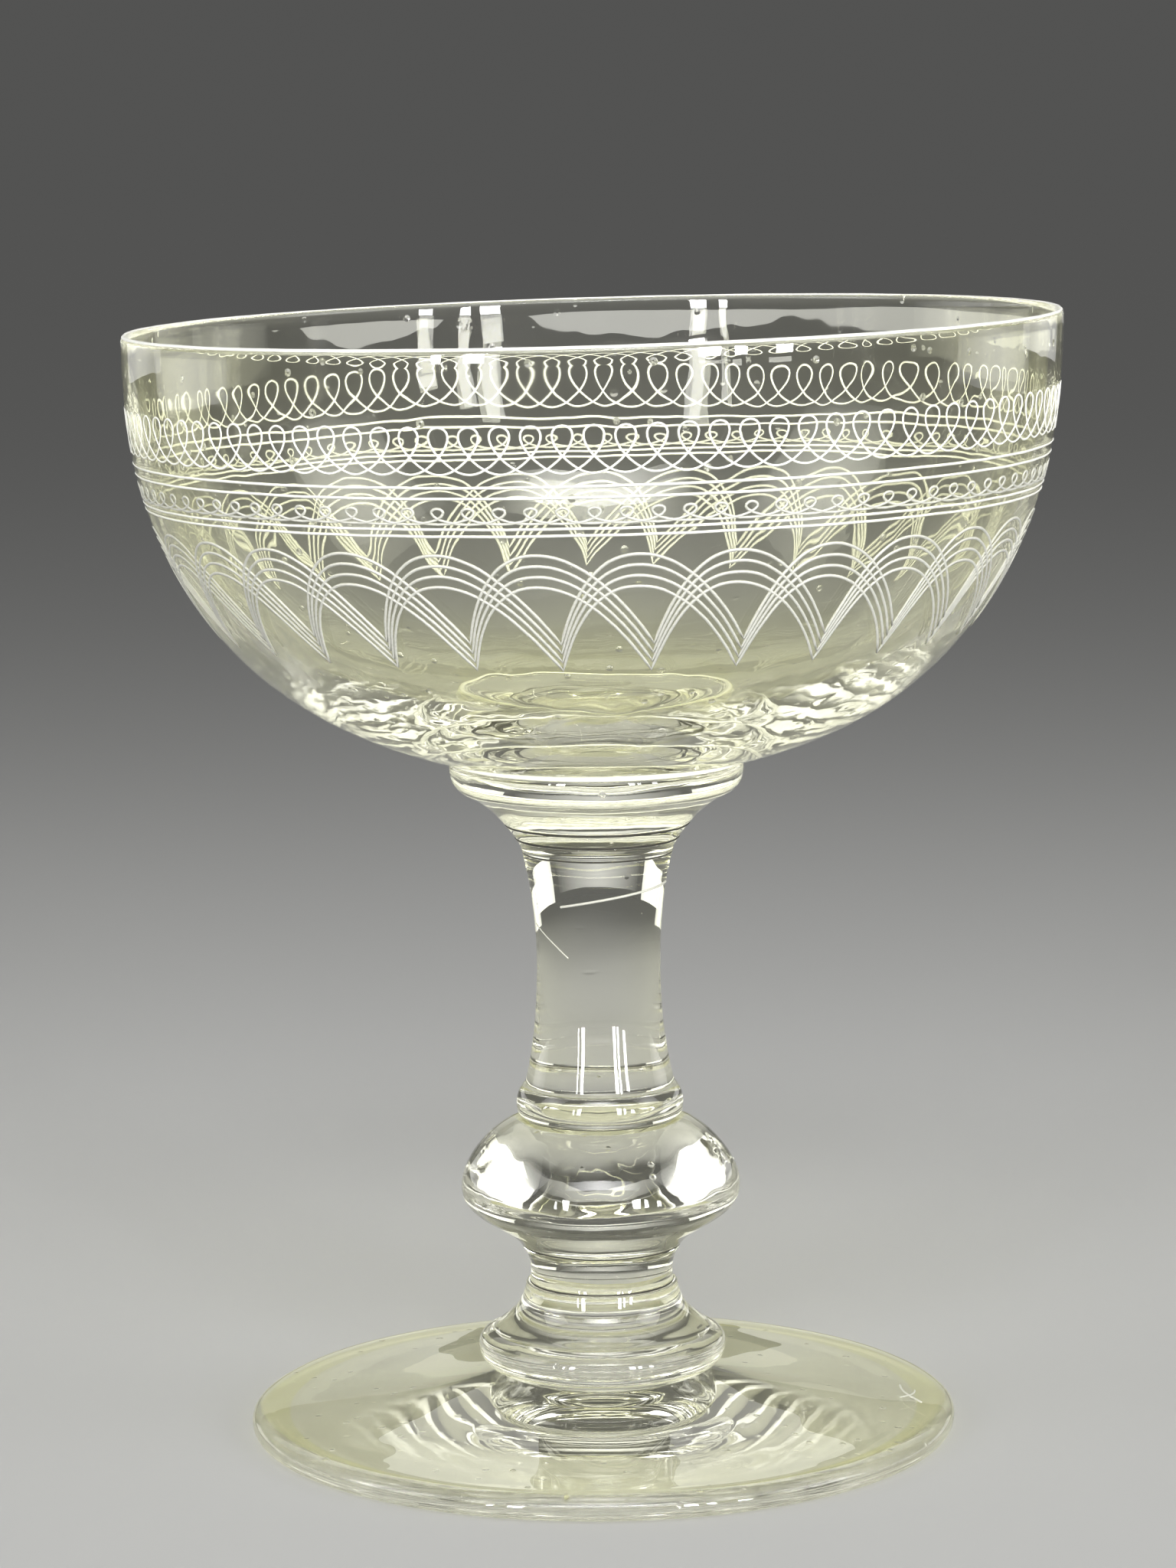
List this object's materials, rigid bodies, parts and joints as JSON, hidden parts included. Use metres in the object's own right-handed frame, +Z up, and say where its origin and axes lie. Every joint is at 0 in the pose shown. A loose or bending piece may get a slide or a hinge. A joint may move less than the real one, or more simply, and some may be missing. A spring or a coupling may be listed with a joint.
{
  "type": "coupe glass",
  "caption": "Shallow stemmed champagne coupe with a round open bowl, a solid waisted stem with a knop, and a broad flat foot.",
  "frame": {"origin": "centre of the foot's standing ring, on the surface that the glass stands on", "axes": "+Z up along the axis of the glass, towards the rim"},
  "size_m": [0.1, 0.1, 0.1208],
  "materials": {
    "foot_glass": "fire-polished clear glass with a faint yellow-green tint",
    "foot_merese_glass": "fire-polished clear glass",
    "stem_neck_glass": "fire-polished clear glass",
    "knop_glass": "fire-polished clear glass",
    "stem_collar_glass": "fire-polished clear glass",
    "stem_shaft_glass": "fire-polished clear glass",
    "bowl_merese_glass": "fire-polished clear glass",
    "bowl_glass": "thin clear glass with etched lines on the outside"
  },
  "bodies": {
    "root": {"foot": "foot_glass", "foot_merese": "foot_merese_glass", "stem_neck": "stem_neck_glass", "knop": "knop_glass", "stem_collar": "stem_collar_glass", "stem_shaft": "stem_shaft_glass", "bowl_merese": "bowl_merese_glass", "bowl": "bowl_glass"}
  },
  "joints": []
}
